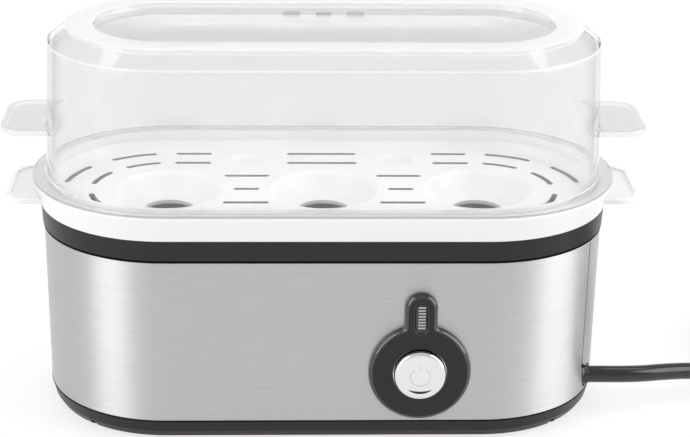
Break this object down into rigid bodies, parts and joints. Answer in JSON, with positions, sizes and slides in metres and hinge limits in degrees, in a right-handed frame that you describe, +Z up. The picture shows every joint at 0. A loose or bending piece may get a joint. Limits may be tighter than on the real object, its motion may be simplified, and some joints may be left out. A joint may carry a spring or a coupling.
{
  "type": "electric egg cooker",
  "caption": "Long oval egg cooker: steel body with dark collar and base, white tray with egg wells and steam slots, clear lift-off lid, round push button, mains cord.",
  "frame": {"origin": "on the table, under the middle of the body", "axes": "+X to the right along the long side, -Y to the front with the button, +Z up"},
  "size_m": [0.3868, 0.1233, 0.1472],
  "materials": {
    "dark_plastic": "satin anthracite moulding",
    "brushed_steel": "brushed along the body",
    "dish_steel": "pressed stainless",
    "zinc_steel": "zinc plated",
    "foot_rubber": "matt black",
    "silicone": "red silicone",
    "spreader_aluminium": "die cast",
    "element_sheath": "oxidised tube",
    "brass": "stamped",
    "phenolic": "phenolic with an aluminium cap",
    "fuse_ceramic": "white body",
    "lens_plastic": "clear ribbed window",
    "lamp_glass": "neon lamp",
    "natural_plastic": "natural polyamide",
    "button_chrome": "bright chrome",
    "lead_brown": "brown insulation",
    "lead_blue": "blue insulation",
    "lead_green": "green and yellow insulation",
    "lead_white": "white insulation",
    "cord_rubber": "glossy black sheath",
    "plug_nickel": "nickel plated brass",
    "tray_plastic": "glossy white polypropylene",
    "lid_plastic": "clear colourless moulding"
  },
  "bodies": {
    "base": {"base_plate": "dark_plastic", "rubber_feet": "foot_rubber", "base_screws": "zinc_steel", "steel_sleeve": "brushed_steel", "seam_strip": "brushed_steel", "upper_collar": "dark_plastic", "water_dish": "dish_steel", "dish_seal": "silicone", "heat_spreader": "spreader_aluminium", "heating_element": "element_sheath", "dish_clamps": "zinc_steel", "dish_nuts": "zinc_steel", "earth_tag": "brass", "thermostat": "phenolic", "thermostat_screws": "zinc_steel", "thermal_fuse": "fuse_ceramic", "fuse_clip": "zinc_steel", "control_bezel": "dark_plastic", "bezel_screws": "zinc_steel", "indicator_lens": "lens_plastic", "indicator_lamp": "lamp_glass", "lamp_holder": "natural_plastic", "switch_carrier": "dark_plastic", "push_switch": "dark_plastic", "button_spring": "zinc_steel", "terminal_block": "natural_plastic", "terminal_screws": "zinc_steel", "live_leads": "lead_brown", "neutral_leads": "lead_blue", "earth_leads": "lead_green", "lamp_leads": "lead_white", "cord_grommet": "cord_rubber", "cord_inner": "cord_rubber", "cord_clamp": "dark_plastic", "clamp_screws": "zinc_steel", "cord_lead": "cord_rubber", "cord_coil": "cord_rubber", "coil_tie": "cord_rubber", "plug_body": "cord_rubber", "plug_pins": "plug_nickel", "plug_earth": "plug_nickel"},
    "button": {"button_cap": "button_chrome", "switch_plunger": "natural_plastic"},
    "tray": {"egg_tray": "tray_plastic"},
    "lid": {"lid_cover": "lid_plastic"}
  },
  "joints": [
    {"name": "tray_lift", "type": "slide", "parent": "base", "child": "tray", "axis": [0, 0, 1], "range_m": [0, 0.12]},
    {"name": "lid_lift", "type": "slide", "parent": "tray", "child": "lid", "axis": [0, 0, 1], "range_m": [0, 0.12]},
    {"name": "button_press", "type": "slide", "parent": "base", "child": "button", "axis": [0, 1, 0.0094], "range_m": [0, 0.0025], "stiffness_N_per_m": 500, "springref_m": -0.002, "deforming": ["button_spring"]}
  ]
}
